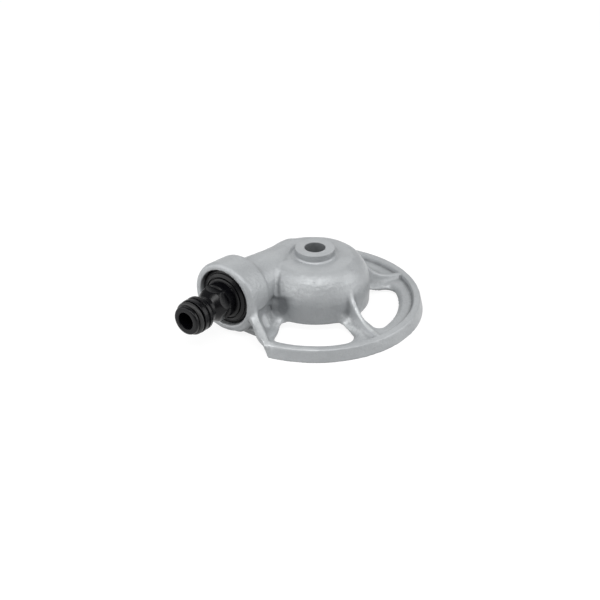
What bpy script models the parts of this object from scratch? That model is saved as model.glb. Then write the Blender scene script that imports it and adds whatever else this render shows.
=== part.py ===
"""Stationary garden sprinkler.

A die-cast ring base carries a domed swirl chamber. Water enters by a screwed-in hose adaptor, runs
through a horn that meets the chamber off its axis, swirls, and leaves by the nozzle on top. A pressed
cover closes the chamber from below. Lengths are in metres, +Z is up and the inlet points along -X.
"""

import math

import bmesh
import bpy
from mathutils import Matrix, Vector

# Clearance between pieces that touch
SEAT_GAP = 0.0003

# How far cutters run past the faces they open, and how finely curves and edges are made
CUTTER_OVERSHOOT = 0.0010
ROUNDING_STEPS = 3
MERGE_DISTANCE = 1e-7
SHARP_ANGLE = 35.0

# Ring base
RING_RADIUS = 0.0550
RING_HEIGHT = 0.0066
RING_DRAFT = 0.0015
LIP_WIDTH = 0.0034
LIP_INNER_DRAFT = 0.0007
LIP_ROUNDING = 0.0009
PLATE_HEIGHT = 0.0042
PLATE_UNDERSIDE = 0.0016
PLATE_OVERLAP = 0.0006
UNDERSIDE_REACH = 0.0080
RIM_WIDTH = 0.0040
RING_STEPS = 96

# Windows through the plate. Each side has its angles in degrees, at the chamber and at the rim, and its
# corner radius; the start side comes first, then the end side, then the rim's radius
WINDOWS = (
    ((-183.0, -172.5, 0.0056), (-111.7, -108.9, 0.0090), 0.0461),
    ((-96.0, -98.5, 0.0045), (-31.0, -29.5, 0.0072), 0.0447),
    ((-21.0, -23.0, 0.0060), (44.0, 46.0, 0.0060), 0.0447),
    ((63.0, 60.0, 0.0060), (108.0, 112.0, 0.0060), 0.0447),
)
WINDOW_INNER_CORNER = 0.0030
WINDOW_BEVEL = 0.0021
WINDOW_LAND = 0.0008
WINDOW_FLARE = 0.0006
WINDOW_ARC_STEPS = 12
WINDOW_CORNER_STEPS = 4

# Ribs between the windows, as angles in degrees at the dome and at the rim
RIBS = ((-102.8, -106.2), (-26.0, -26.5), (54.0, 53.0))
RIB_TOP_HEIGHT = 0.0212
RIB_TOP_WIDTH = 0.0020
RIB_ROOT_WIDTH = 0.0038
RIB_CURVE_POWER = 3.0
RIB_CURVE_STEPS = 10
RIB_LIP_RISE = 0.0003

# Straight side of the base below the inlet, and the strut that runs down to its corner
SIDE_DISTANCE = 0.0420
SIDE_NEAR_Y = 0.0024
SIDE_FAR_Y = 0.0400
SIDE_LEAN = 0.0022
CORNER_X = 0.0534
CORNER_Y = -0.0119
STRUT_TOP_HEIGHT = 0.0153
STRUT_TOP_SINK = 0.0011
STRUT_NEAR_WIDTH = (0.0050, 0.0018)
STRUT_NEAR_FOOT_WIDTH = (0.0020, 0.0008)
STRUT_FAR_WIDTH = (0.0048, -0.0004)
STRUT_FAR_RISE = 0.0015
STRUT_FOOT_WIDTH = 0.0046
STRUT_SINK = 0.0040

# Swirl chamber
CHAMBER_RADIUS = 0.0279
CHAMBER_FOOT_RELIEF = 0.0003
CHAMBER_BOTTOM = 0.0044
DOME_HEIGHT = 0.0298
DOME_SHOULDER_WIDTH = 0.0104
DOME_SHOULDER_HEIGHT = 0.0172
DOME_CROWN = 0.0004
SHOULDER_STEPS = 9
CHAMBER_WALL = 0.0042
ROOF_THICKNESS = 0.0036
CAVITY_SHOULDER_WIDTH = 0.0083
CAVITY_SHOULDER_HEIGHT = 0.0130
CAVITY_SHOULDER_STEPS = 7
SKIRT_REACH = 0.0070
SKIRT_RISE = 0.0055
SKIRT_STEPS = 5
CHAMBER_STEPS = 72

# Nozzle boss
BOSS_RADIUS = 0.0100
BOSS_HEIGHT = 0.0040
BOSS_CHAMFER = 0.0004
BOSS_FILLET = 0.0004
NOZZLE_RADIUS = 0.00525
NOZZLE_FUNNEL = 0.0016

# Inlet horn and collar
INLET_OFFSET = 0.0202
COLLAR_RADIUS = 0.0181
COLLAR_CLEARANCE = 0.0008
COLLAR_DRAFT = 0.0010
COLLAR_FACE = 0.0476
COLLAR_LENGTH = 0.0154
COLLAR_ROUNDING = 0.0022
COLLAR_ROUNDING_STEPS = 4
COLLAR_SHOULDER = 0.0024
COLLAR_BACK_CHAMFER = 0.0007
COLLAR_BACK_EASE = 0.0012
HORN_OVERLAP = 0.0003
COLLAR_STEPS = 64
HORN_RADIUS = 0.0134
HORN_START_OFFSET = 0.0194
HORN_BEND_X = 0.0020
HORN_BULGE = 0.0014
HORN_BEND_HEIGHT = 0.0170
HORN_BEND_RADIUS = 0.0139
HORN_END_SETBACK = 0.0069
HORN_END_OFFSET = 0.0060
HORN_END_HEIGHT = 0.0145
HORN_END_RADIUS = 0.0132
HORN_RINGS = 6
HORN_STEPS = 40
HORN_FOOT_BACK = 0.0180
HORN_FOOT_TAPER = 0.0040
HORN_FOOT_LEAN = 0.0007
HORN_FOOT_INNER_SPAN = (-0.0029, 0.0058)
HORN_RAMP_REACH = 0.0052
HORN_RAMP_FRONT = 0.0016
HORN_RAMP_SETBACK = 0.0035
HORN_RAMP_HEIGHT = 0.0128

# Inlet recess, thread bore and passage into the chamber
RECESS_RADIUS = 0.0146
RECESS_DEPTH = 0.0070
THREAD_RADIUS = 0.0098
THREAD_LENGTH = 0.0104
PASSAGE_RADIUS = 0.0088
PASSAGE_END_X = -0.0050
PASSAGE_END_OFFSET = 0.0145
PASSAGE_END_HEIGHT = 0.0155
PASSAGE_STEPS = 24
BORE_STEPS = 48

# Bottom cover and its gasket
COVER_THICKNESS = 0.0014
COVER_INSET = 0.0003
COVER_DISH = 0.0008
COVER_DISH_RADIUS = 0.0150
GASKET_SECTION = 0.0016
COVER_LEDGE = 0.0018
GASKET_SIDES = 8
COVER_STEPS = 48

# Hose adaptor, measured along its axis from its tip
ADAPTOR_PROTRUSION = 0.0275
ADAPTOR_BORE = 0.0044
TIP_RADIUS = 0.0072
TIP_ROUNDING = 0.0011
TIP_LENGTH = 0.0020
TIP_DRAFT = 0.0002
NOSE_RADIUS = 0.0086
NOSE_END = 0.0108
NOSE_CHAMFER = 0.0006
NOSE_GROOVE_START = 0.0074
NOSE_GROOVE_WIDTH = 0.0011
NOSE_GROOVE_SIDE = 0.0003
NOSE_GROOVE_DEPTH = 0.0007
WAIST_RADIUS = 0.0060
WAIST_START = 0.0126
WAIST_END = 0.0150
BODY_RADIUS = 0.0090
BODY_START = 0.0186
BODY_CHAMFER_DEPTH = 0.0006
BODY_CHAMFER_LENGTH = 0.0014
HEX_ACROSS_FLATS = 0.0158
HEX_END = 0.0226
FLANGE_HUB_START = 0.0274
FLANGE_HUB_RADIUS = 0.0100
FLANGE_RADIUS = 0.0142
FLANGE_STEP = 0.0016
FLANGE_STEP_DEPTH = 0.0006
FLANGE_BEVEL_DEPTH = 0.0014
FLANGE_THICKNESS = 0.0035
SHANK_THREAD_ROOT = 0.0004
ADAPTOR_STEPS = 48

# Seals
O_RING_SECTION = 0.0024
O_RING_RADIUS = 0.0084
O_RING_SIDES = 8
WASHER_THICKNESS = 0.0020
WASHER_EDGE_GAP = 0.0004

# The part stands on the floor with the middle of its bounding box over the origin
TIP_X = -(COLLAR_FACE + ADAPTOR_PROTRUSION)
SWIRL_AXIS_X = -(TIP_X + RING_RADIUS) / 2

RECESS_FLOOR_X = -COLLAR_FACE + RECESS_DEPTH
INLET_HEIGHT = COLLAR_RADIUS + COLLAR_CLEARANCE
HORN_FLOOR = CHAMBER_BOTTOM + SEAT_GAP
BOSS_TOP = DOME_HEIGHT + BOSS_HEIGHT - DOME_CROWN
CAVITY_RADIUS = CHAMBER_RADIUS - CHAMBER_WALL
COVER_SEAT_RADIUS = CAVITY_RADIUS + COVER_LEDGE
PLATE_INNER_RADIUS = COVER_SEAT_RADIUS + PLATE_OVERLAP
COVER_SEAT_HEIGHT = CHAMBER_BOTTOM + COVER_INSET + COVER_THICKNESS + GASKET_SECTION + 2 * SEAT_GAP

GREY_CASTING = ("casting_grey", (0.40, 0.42, 0.43, 1.0), 0.42, 0.35)
PLATED_STEEL = ("plated_steel", (0.55, 0.56, 0.56, 1.0), 0.35, 0.90)
BLACK_PLASTIC = ("black_plastic", (0.012, 0.012, 0.013, 1.0), 0.28, 0.0)
BLACK_RUBBER = ("black_rubber", (0.016, 0.016, 0.016, 1.0), 0.60, 0.0)


def clear_scene():
    """Empty the scene without closing the file."""
    for obj in list(bpy.data.objects):
        bpy.data.objects.remove(obj, do_unlink=True)


def make_material(finish):
    """Principled material from a (name, colour, roughness, metallic) tuple."""
    name, colour, roughness, metallic = finish
    material = bpy.data.materials.new(name)
    material.use_nodes = True
    shader = material.node_tree.nodes["Principled BSDF"]
    shader.inputs["Base Color"].default_value = colour
    shader.inputs["Roughness"].default_value = roughness
    shader.inputs["Metallic"].default_value = metallic
    return material


def make_axis(name, location):
    """Empty that marks an axis and carries the pieces that are set out from it."""
    axis = bpy.data.objects.new(name, None)
    axis.location = location
    bpy.context.collection.objects.link(axis)
    return axis


def make_object(name, mesh_builder, parent):
    """Turn a bmesh into a smooth-shaded object under its axis."""
    bmesh.ops.recalc_face_normals(mesh_builder, faces=mesh_builder.faces)
    mesh = bpy.data.meshes.new(name)
    mesh_builder.to_mesh(mesh)
    mesh_builder.free()
    mesh.shade_smooth()
    mesh.set_sharp_from_angle(angle=math.radians(SHARP_ANGLE))
    obj = bpy.data.objects.new(name, mesh)
    bpy.context.collection.objects.link(obj)
    obj.parent = parent
    return obj


def turned(name, outline, steps, parent, rotation=None):
    """Revolve a (radius, height) outline round local Z; rotation then turns that axis."""
    builder = bmesh.new()
    verts = [builder.verts.new((radius, 0.0, height)) for radius, height in outline]
    pairs = list(zip(verts, verts[1:] + verts[:1]))
    edges = [builder.edges.new(pair) for pair in pairs if pair[0].co.x > 0.0 or pair[1].co.x > 0.0]
    bmesh.ops.spin(builder, geom=verts + edges, cent=(0.0, 0.0, 0.0), axis=(0.0, 0.0, 1.0),
                   angle=2.0 * math.pi, steps=steps, use_merge=True)
    bmesh.ops.remove_doubles(builder, verts=builder.verts, dist=MERGE_DISTANCE)
    if rotation is not None:
        bmesh.ops.transform(builder, matrix=rotation, verts=builder.verts)
    return make_object(name, builder, parent)


def lofted(name, rings, parent):
    """Skin a row of point rings, all with the same count, and close both ends."""
    builder = bmesh.new()
    rows = [[builder.verts.new(point) for point in ring] for ring in rings]
    count = len(rows[0])
    for row, following in zip(rows, rows[1:]):
        for index in range(count):
            other = (index + 1) % count
            builder.faces.new((row[index], row[other], following[other], following[index]))
    builder.faces.new(rows[0])
    builder.faces.new(rows[-1])
    bmesh.ops.triangulate(builder, faces=[face for face in builder.faces if len(face.verts) > 3])
    return make_object(name, builder, parent)


def as_guide(obj):
    """Keep a construction solid as a wireframe guide."""
    obj.hide_render = True
    obj.display_type = "WIRE"


def combine(obj, tool, operation):
    """Union a guide solid with the object, or cut it out of it."""
    modifier = obj.modifiers.new(tool.name, "BOOLEAN")
    modifier.operation = operation
    modifier.object = tool
    modifier.solver = "EXACT"
    as_guide(tool)


def arc(centre, radius, start, end, steps):
    """Points along an arc, both ends included."""
    return [
        (centre[0] + radius * math.cos(start + (end - start) * step / steps),
         centre[1] + radius * math.sin(start + (end - start) * step / steps))
        for step in range(steps + 1)
    ]


def ellipse_quarter(centre, width, height, steps):
    """Quarter ellipse from its widest point up to its top, both ends included."""
    return [
        (centre[0] + width * math.cos(0.5 * math.pi * step / steps),
         centre[1] + height * math.sin(0.5 * math.pi * step / steps))
        for step in range(steps + 1)
    ]


def along_minus_x():
    """Turn local +Z to -X, so that heights are distances along the inlet."""
    return Matrix.Rotation(math.radians(-90.0), 4, "Y")


def inlet_offset_matrix():
    """Set a turned piece on the inlet axis, its heights measured towards -X."""
    return Matrix.Translation((0.0, INLET_OFFSET, INLET_HEIGHT)) @ along_minus_x()


def base_outline():
    """Section of the ring: drafted rim, raised lip, recessed plate and the skirt under the dome."""
    rim_top = RING_RADIUS - RING_DRAFT
    lip_inner = rim_top - LIP_WIDTH
    rounding = arc((rim_top - LIP_ROUNDING, RING_HEIGHT - LIP_ROUNDING), LIP_ROUNDING,
                   0.0, 0.5 * math.pi, ROUNDING_STEPS)
    skirt = [
        (CHAMBER_RADIUS + SKIRT_REACH * (1.0 - math.sin(0.5 * math.pi * step / SKIRT_STEPS)),
         PLATE_HEIGHT + SKIRT_RISE * (1.0 - math.cos(0.5 * math.pi * step / SKIRT_STEPS)))
        for step in range(SKIRT_STEPS + 1)
    ]
    return [
        (RING_RADIUS, 0.0),
        *rounding,
        (lip_inner, RING_HEIGHT),
        (lip_inner - LIP_INNER_DRAFT, PLATE_HEIGHT),
        *skirt,
        (PLATE_INNER_RADIUS, PLATE_HEIGHT + SKIRT_RISE),
        (PLATE_INNER_RADIUS, CHAMBER_BOTTOM),
        (CHAMBER_RADIUS, CHAMBER_BOTTOM),
        (CHAMBER_RADIUS + UNDERSIDE_REACH, PLATE_UNDERSIDE),
        (RING_RADIUS - RIM_WIDTH - PLATE_UNDERSIDE, PLATE_UNDERSIDE),
        (RING_RADIUS - RIM_WIDTH, 0.0),
    ]


def polar(radius, degrees):
    """Point in plan at a radius and an angle."""
    angle = math.radians(degrees)
    return Vector((radius * math.cos(angle), radius * math.sin(angle)))


def corner_centre(point, along, into, corner, reach):
    """Centre of a corner arc that touches a window's side and a circle round the swirl axis."""
    foot = point + into * corner
    half = foot.dot(along)
    return foot + along * (math.sqrt(half * half - foot.length_squared + reach * reach) - half)


def corner_arc(first, last, centre, corner):
    """Short arc about a centre, from one tangent point to another."""
    start = math.atan2(first.y - centre.y, first.x - centre.x)
    sweep = math.atan2(last.y - centre.y, last.x - centre.x) - start
    sweep = (sweep + math.pi) % (2.0 * math.pi) - math.pi
    return arc(centre, corner, start, start + sweep, WINDOW_CORNER_STEPS)


def window_side(side, outer, bevel, turn):
    """One side of a window, set in by the bevel: the arc at the chamber, then the arc at the rim."""
    inner_angle, outer_angle, corner = side
    corner -= bevel
    foot = polar(CHAMBER_RADIUS, inner_angle)
    along = (polar(outer, outer_angle) - foot).normalized()
    into = Vector((-along.y, along.x)) * turn
    foot += into * bevel
    inner_corner = corner_centre(foot, along, into, WINDOW_INNER_CORNER,
                                 CHAMBER_RADIUS + WINDOW_INNER_CORNER)
    outer_corner = corner_centre(foot, along, into, corner, outer - bevel - corner)
    near = corner_arc(inner_corner.normalized() * CHAMBER_RADIUS,
                      inner_corner - into * WINDOW_INNER_CORNER, inner_corner, WINDOW_INNER_CORNER)
    far = corner_arc(outer_corner - into * corner,
                     outer_corner.normalized() * (outer - bevel), outer_corner, corner)
    return near + far


def angle_of(point):
    """Angle of a point in plan."""
    return math.atan2(point[1], point[0])


def window_outline(window, bevel):
    """Sector with rounded corners, in plan; it also clears the chamber's wall from below."""
    start_side, end_side, outer = window
    start = window_side(start_side, outer, bevel, 1.0)
    end = window_side(end_side, outer, bevel, -1.0)
    first, last = angle_of(start[-1]), angle_of(end[-1])
    rim = arc((0.0, 0.0), outer - bevel, first, first + (last - first) % (2.0 * math.pi), WINDOW_ARC_STEPS)
    first, last = angle_of(start[0]), angle_of(end[0])
    clear = COVER_SEAT_RADIUS - CUTTER_OVERSHOOT
    below = arc((0.0, 0.0), clear, first + (last - first) % (2.0 * math.pi), first, WINDOW_ARC_STEPS)
    return start + rim[1:-1] + end[::-1] + below


def plate_top(radius):
    """Height of the plate's top at a radius, with the skirt that rises to the dome."""
    inward = min(max(1 - (radius - CHAMBER_RADIUS) / SKIRT_REACH, 0), 1)
    return PLATE_HEIGHT + SKIRT_RISE * (1 - math.sqrt(1 - inward * inward))


def plate_underside(radius):
    """Height of the plate's underside at a radius, rising to the foot of the chamber."""
    inward = min(max(1 - (radius - CHAMBER_RADIUS) / UNDERSIDE_REACH, 0), 1)
    return PLATE_UNDERSIDE + (CHAMBER_BOTTOM - PLATE_UNDERSIDE) * inward


def window_cutter(index, window, parent):
    """Plug that opens one window: a straight land below, then walls that slope out to the plate's top."""
    land = window_outline(window, WINDOW_BEVEL)
    top = window_outline(window, 0.0)
    above = window_outline(window, -WINDOW_FLARE)
    rings = [
        [(x, y, -CUTTER_OVERSHOOT) for x, y in land],
        [(x, y, plate_underside(math.hypot(x, y)) + WINDOW_LAND) for x, y in land],
        [(x, y, plate_top(math.hypot(x, y))) for x, y in top],
        [(x, y, plate_top(math.hypot(x, y)) + CUTTER_OVERSHOOT) for x, y in above],
        [(x, y, plate_top(CHAMBER_RADIUS) + 2 * CUTTER_OVERSHOOT) for x, y in above],
    ]
    return lofted(f"window_{index}_cutter", rings, parent)


def side_cutter(parent):
    """Plug that trims the ring to its straight side below the inlet, leaning as the strut does."""
    far = RING_RADIUS + COLLAR_RADIUS
    rings = []
    for height in (-CUTTER_OVERSHOOT, RING_HEIGHT + SKIRT_RISE):
        lean = SIDE_LEAN * height / RING_HEIGHT
        rings.append([
            (-CORNER_X - lean, CORNER_Y, height),
            (-SIDE_DISTANCE - lean, SIDE_NEAR_Y, height),
            (-SIDE_DISTANCE - lean, SIDE_FAR_Y, height),
            (-far, SIDE_FAR_Y, height),
            (-far, CORNER_Y, height),
        ])
    return lofted("side_cutter", rings, parent)


def make_base(parent):
    """Ring, plate and skirt, trimmed at the inlet and opened by the windows."""
    base = turned("ring_base_form", base_outline(), RING_STEPS, parent)
    combine(base, side_cutter(parent), "DIFFERENCE")
    for index, window in enumerate(WINDOWS, start=1):
        combine(base, window_cutter(index, window, parent), "DIFFERENCE")
    return base


def make_chamber(parent):
    """Solid outer form of the swirl chamber with the nozzle boss on its crown."""
    shoulder_radius = CHAMBER_RADIUS - DOME_SHOULDER_WIDTH
    shoulder_base = DOME_HEIGHT - DOME_CROWN - DOME_SHOULDER_HEIGHT
    shoulder = ellipse_quarter((shoulder_radius, shoulder_base), DOME_SHOULDER_WIDTH,
                               DOME_SHOULDER_HEIGHT, SHOULDER_STEPS)
    outline = [
        (0.0, CHAMBER_BOTTOM),
        (CHAMBER_RADIUS - CHAMBER_FOOT_RELIEF, CHAMBER_BOTTOM),
        *shoulder,
        *arc((BOSS_RADIUS + BOSS_FILLET, DOME_HEIGHT + BOSS_FILLET), BOSS_FILLET,
             -0.5 * math.pi, -math.pi, ROUNDING_STEPS),
        (BOSS_RADIUS, BOSS_TOP - BOSS_CHAMFER),
        (BOSS_RADIUS - BOSS_CHAMFER, BOSS_TOP),
        (0.0, BOSS_TOP),
    ]
    return turned("chamber_form", outline, CHAMBER_STEPS, parent)


def bend_rings(stations, count, steps, floor):
    """Circles between (x, y, z, radius) stations, easing from each to the next, cut flat at a floor."""
    circles = []
    for near, far in zip(stations, stations[1:]):
        for index in range(count):
            travel = index / count
            ease = travel * travel * (3.0 - 2.0 * travel)
            x = near[0] + (far[0] - near[0]) * travel
            circles.append((x, *(a + (b - a) * ease for a, b in zip(near[1:], far[1:]))))
    circles.append(stations[-1])
    return [
        [(x, across, max(up, floor)) for across, up in arc((y, z), radius, 0.0, 2.0 * math.pi, steps)[:-1]]
        for x, y, z, radius in circles
    ]


def make_horn(parent):
    """Round horn that turns in and sinks to meet the chamber off its axis."""
    start_x = -COLLAR_FACE + COLLAR_LENGTH - COLLAR_SHOULDER
    bend_offset = CHAMBER_RADIUS + HORN_BULGE - HORN_BEND_RADIUS
    end_x = CHAMBER_RADIUS - HORN_END_SETBACK
    stations = (
        (start_x, HORN_START_OFFSET, INLET_HEIGHT, HORN_RADIUS),
        (HORN_BEND_X, bend_offset, HORN_BEND_HEIGHT, HORN_BEND_RADIUS),
        (end_x, HORN_END_OFFSET, HORN_END_HEIGHT, HORN_END_RADIUS),
    )
    return lofted("horn_form", bend_rings(stations, HORN_RINGS, HORN_STEPS, HORN_FLOOR), parent)


def make_collar(parent):
    """Thick round collar that takes the adaptor, with a soft front edge."""
    front = COLLAR_FACE
    back = COLLAR_FACE - COLLAR_LENGTH
    rounding = arc((COLLAR_RADIUS - COLLAR_ROUNDING, front - COLLAR_ROUNDING), COLLAR_ROUNDING,
                   0.0, 0.5 * math.pi, COLLAR_ROUNDING_STEPS)
    outline = [
        (0.0, back - COLLAR_SHOULDER),
        (HORN_RADIUS - HORN_OVERLAP, back - COLLAR_SHOULDER),
        (COLLAR_RADIUS - COLLAR_DRAFT - COLLAR_BACK_CHAMFER, back),
        (COLLAR_RADIUS - COLLAR_DRAFT, back + COLLAR_BACK_EASE),
        *rounding,
        (0.0, front),
    ]
    return turned("collar_form", outline, COLLAR_STEPS, parent, inlet_offset_matrix())


def make_horn_foot(parent):
    """Web that carries the collar and the horn down to the plate, with a ramp on its near side."""
    near = HORN_START_OFFSET - HORN_BEND_RADIUS
    far = HORN_START_OFFSET + HORN_BEND_RADIUS - HORN_FOOT_TAPER
    back = -COLLAR_FACE + COLLAR_LENGTH
    inner_near, inner_far = HORN_FOOT_INNER_SPAN
    rings = []
    for height, front_ramp, ramp in ((0.0, HORN_RAMP_FRONT, HORN_RAMP_REACH),
                                     (PLATE_HEIGHT, HORN_RAMP_FRONT, HORN_RAMP_REACH),
                                     (HORN_RAMP_HEIGHT, 0.0, 0.0),
                                     (INLET_HEIGHT, 0.0, 0.0)):
        lean = HORN_FOOT_LEAN * height / RING_HEIGHT
        rings.append([
            (-SIDE_DISTANCE - lean, near - front_ramp, height),
            (back - HORN_RAMP_SETBACK, near - ramp, height),
            (-CHAMBER_RADIUS, near + HORN_FOOT_TAPER - ramp, height),
            (-HORN_FOOT_BACK, INLET_OFFSET + inner_near, height),
            (-HORN_FOOT_BACK, INLET_OFFSET + inner_far, height),
            (back, far, height),
            (-SIDE_DISTANCE - lean, far, height),
        ])
    return lofted("horn_foot_form", rings, parent)


def make_strut(parent):
    """Strut from the collar's side down to the ring's corner, with a flat sloping top."""
    far_edge = Vector((-COLLAR_FACE, INLET_OFFSET - COLLAR_RADIUS + STRUT_TOP_SINK, STRUT_TOP_HEIGHT))
    near_edge = Vector((-CORNER_X - SIDE_LEAN, CORNER_Y, RING_HEIGHT))
    near_foot = Vector((-CORNER_X, CORNER_Y, 0.0))
    far_foot = Vector((-SIDE_DISTANCE, SIDE_NEAR_Y, 0.0))
    run = (far_edge - near_edge).normalized() * STRUT_SINK
    foot_run = (far_foot - near_foot).normalized() * STRUT_SINK
    near_across = Vector((*STRUT_NEAR_WIDTH, 0.0))
    far_across = Vector((*STRUT_FAR_WIDTH, STRUT_FAR_RISE))
    near_foot_across = Vector((*STRUT_NEAR_FOOT_WIDTH, 0.0))
    foot_across = Vector((STRUT_FOOT_WIDTH, 0.0, 0.0))
    near_end = [near_foot, near_foot + near_foot_across, near_edge + near_across, near_edge]
    far_end = [far_foot, far_foot + foot_across, far_edge + far_across, far_edge]
    sunk_end = [far_foot + foot_run, far_foot + foot_across + foot_run,
                far_edge + far_across + run, far_edge + run]
    return lofted("strut_form", [near_end, far_end, sunk_end], parent)


def make_rib(index, angles, parent):
    """Upright rib whose top edge sweeps from the dome down to the lip."""
    inner = polar(CHAMBER_RADIUS - 0.5 * CHAMBER_WALL, angles[0])
    outer = polar(RING_RADIUS - RING_DRAFT - 0.5 * LIP_WIDTH, angles[1])
    along = (outer - inner).normalized()
    across = Vector((-along.y, along.x))
    low = RING_HEIGHT + RIB_LIP_RISE
    root = 0.5 * (PLATE_HEIGHT + PLATE_UNDERSIDE)
    rings = []
    for step in range(RIB_CURVE_STEPS + 1):
        travel = step / RIB_CURVE_STEPS
        foot = inner.lerp(outer, travel)
        top = low + (RIB_TOP_HEIGHT - low) * (1 - travel) ** RIB_CURVE_POWER
        section = (
            (-0.5 * RIB_ROOT_WIDTH, root),
            (0.5 * RIB_ROOT_WIDTH, root),
            (0.5 * RIB_TOP_WIDTH, top),
            (-0.5 * RIB_TOP_WIDTH, top),
        )
        rings.append([(*(foot + across * side), height) for side, height in section])
    return lofted(f"rib_{index}_form", rings, parent)


def chamber_cavity(parent):
    """Cavity with the cover's seat below, a domed roof and the nozzle bore on top."""
    roof = DOME_HEIGHT - ROOF_THICKNESS
    shoulder = ellipse_quarter((CAVITY_RADIUS - CAVITY_SHOULDER_WIDTH, roof - CAVITY_SHOULDER_HEIGHT),
                               CAVITY_SHOULDER_WIDTH, CAVITY_SHOULDER_HEIGHT, CAVITY_SHOULDER_STEPS)
    outline = [
        (0.0, -CUTTER_OVERSHOOT),
        (COVER_SEAT_RADIUS, -CUTTER_OVERSHOOT),
        (COVER_SEAT_RADIUS, COVER_SEAT_HEIGHT),
        (CAVITY_RADIUS, COVER_SEAT_HEIGHT),
        *shoulder,
        (NOZZLE_RADIUS + NOZZLE_FUNNEL, roof),
        (NOZZLE_RADIUS, roof + NOZZLE_FUNNEL),
        (NOZZLE_RADIUS, BOSS_TOP + CUTTER_OVERSHOOT),
        (0.0, BOSS_TOP + CUTTER_OVERSHOOT),
    ]
    return turned("cavity_cutter", outline, BORE_STEPS, parent)


def inlet_cutter(parent):
    """Recess for the adaptor's flange and the bore that its shank screws into."""
    thread_end = -RECESS_FLOOR_X - THREAD_LENGTH
    outline = [
        (0.0, thread_end),
        (THREAD_RADIUS, thread_end),
        (THREAD_RADIUS, -RECESS_FLOOR_X),
        (RECESS_RADIUS, -RECESS_FLOOR_X),
        (RECESS_RADIUS, COLLAR_FACE + CUTTER_OVERSHOOT),
        (0.0, COLLAR_FACE + CUTTER_OVERSHOOT),
    ]
    return turned("inlet_cutter", outline, BORE_STEPS, parent, inlet_offset_matrix())


def passage_cutter(parent):
    """Passage that leads the water into the chamber along its wall."""
    start_x = RECESS_FLOOR_X + THREAD_LENGTH - CUTTER_OVERSHOOT
    stations = (
        (start_x, INLET_OFFSET, INLET_HEIGHT, PASSAGE_RADIUS),
        (PASSAGE_END_X, PASSAGE_END_OFFSET, PASSAGE_END_HEIGHT, PASSAGE_RADIUS),
    )
    rings = bend_rings(stations, HORN_RINGS, PASSAGE_STEPS, COVER_SEAT_HEIGHT)
    return lofted("passage_cutter", rings, parent)


def make_casting(parent, material):
    """One-piece casting: ring base, chamber, horn, collar, strut and ribs, cored for the water."""
    casting = make_base(parent)
    casting.name = "sprinkler_casting"
    additions = [
        make_chamber(parent),
        make_horn(parent),
        make_collar(parent),
        make_horn_foot(parent),
        make_strut(parent),
    ]
    additions += [make_rib(index, angles, parent) for index, angles in enumerate(RIBS, start=1)]
    for form in additions:
        combine(casting, form, "UNION")
    for cutter in (chamber_cavity(parent), inlet_cutter(parent), passage_cutter(parent)):
        combine(casting, cutter, "DIFFERENCE")
    casting.data.materials.append(material)
    return casting


def make_cover(parent, material):
    """Pressed steel disc that closes the chamber, with a shallow dish."""
    bottom = CHAMBER_BOTTOM + COVER_INSET
    top = bottom + COVER_THICKNESS
    edge = COVER_SEAT_RADIUS - SEAT_GAP
    outline = [
        (0.0, bottom + COVER_DISH),
        (COVER_DISH_RADIUS - COVER_DISH, bottom + COVER_DISH),
        (COVER_DISH_RADIUS, bottom),
        (edge, bottom),
        (edge, top),
        (COVER_DISH_RADIUS, top),
        (COVER_DISH_RADIUS - COVER_DISH, top + COVER_DISH),
        (0.0, top + COVER_DISH),
    ]
    cover = turned("bottom_cover", outline, COVER_STEPS, parent)
    cover.data.materials.append(material)
    return cover


def ring_seal(name, middle_radius, section_radius, height, steps, sides, parent, rotation=None):
    """Round-section sealing ring."""
    outline = arc((middle_radius, height), section_radius, 0.0, 2.0 * math.pi, sides)[:-1]
    return turned(name, outline, steps, parent, rotation)


def make_cover_gasket(parent, material):
    """Rubber ring between the cover and its ledge."""
    height = CHAMBER_BOTTOM + COVER_INSET + COVER_THICKNESS + SEAT_GAP + 0.5 * GASKET_SECTION
    middle = COVER_SEAT_RADIUS - SEAT_GAP - 0.5 * GASKET_SECTION
    gasket = ring_seal("cover_gasket", middle, 0.5 * GASKET_SECTION, height, COVER_STEPS, GASKET_SIDES,
                       parent)
    gasket.data.materials.append(material)
    return gasket


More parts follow.
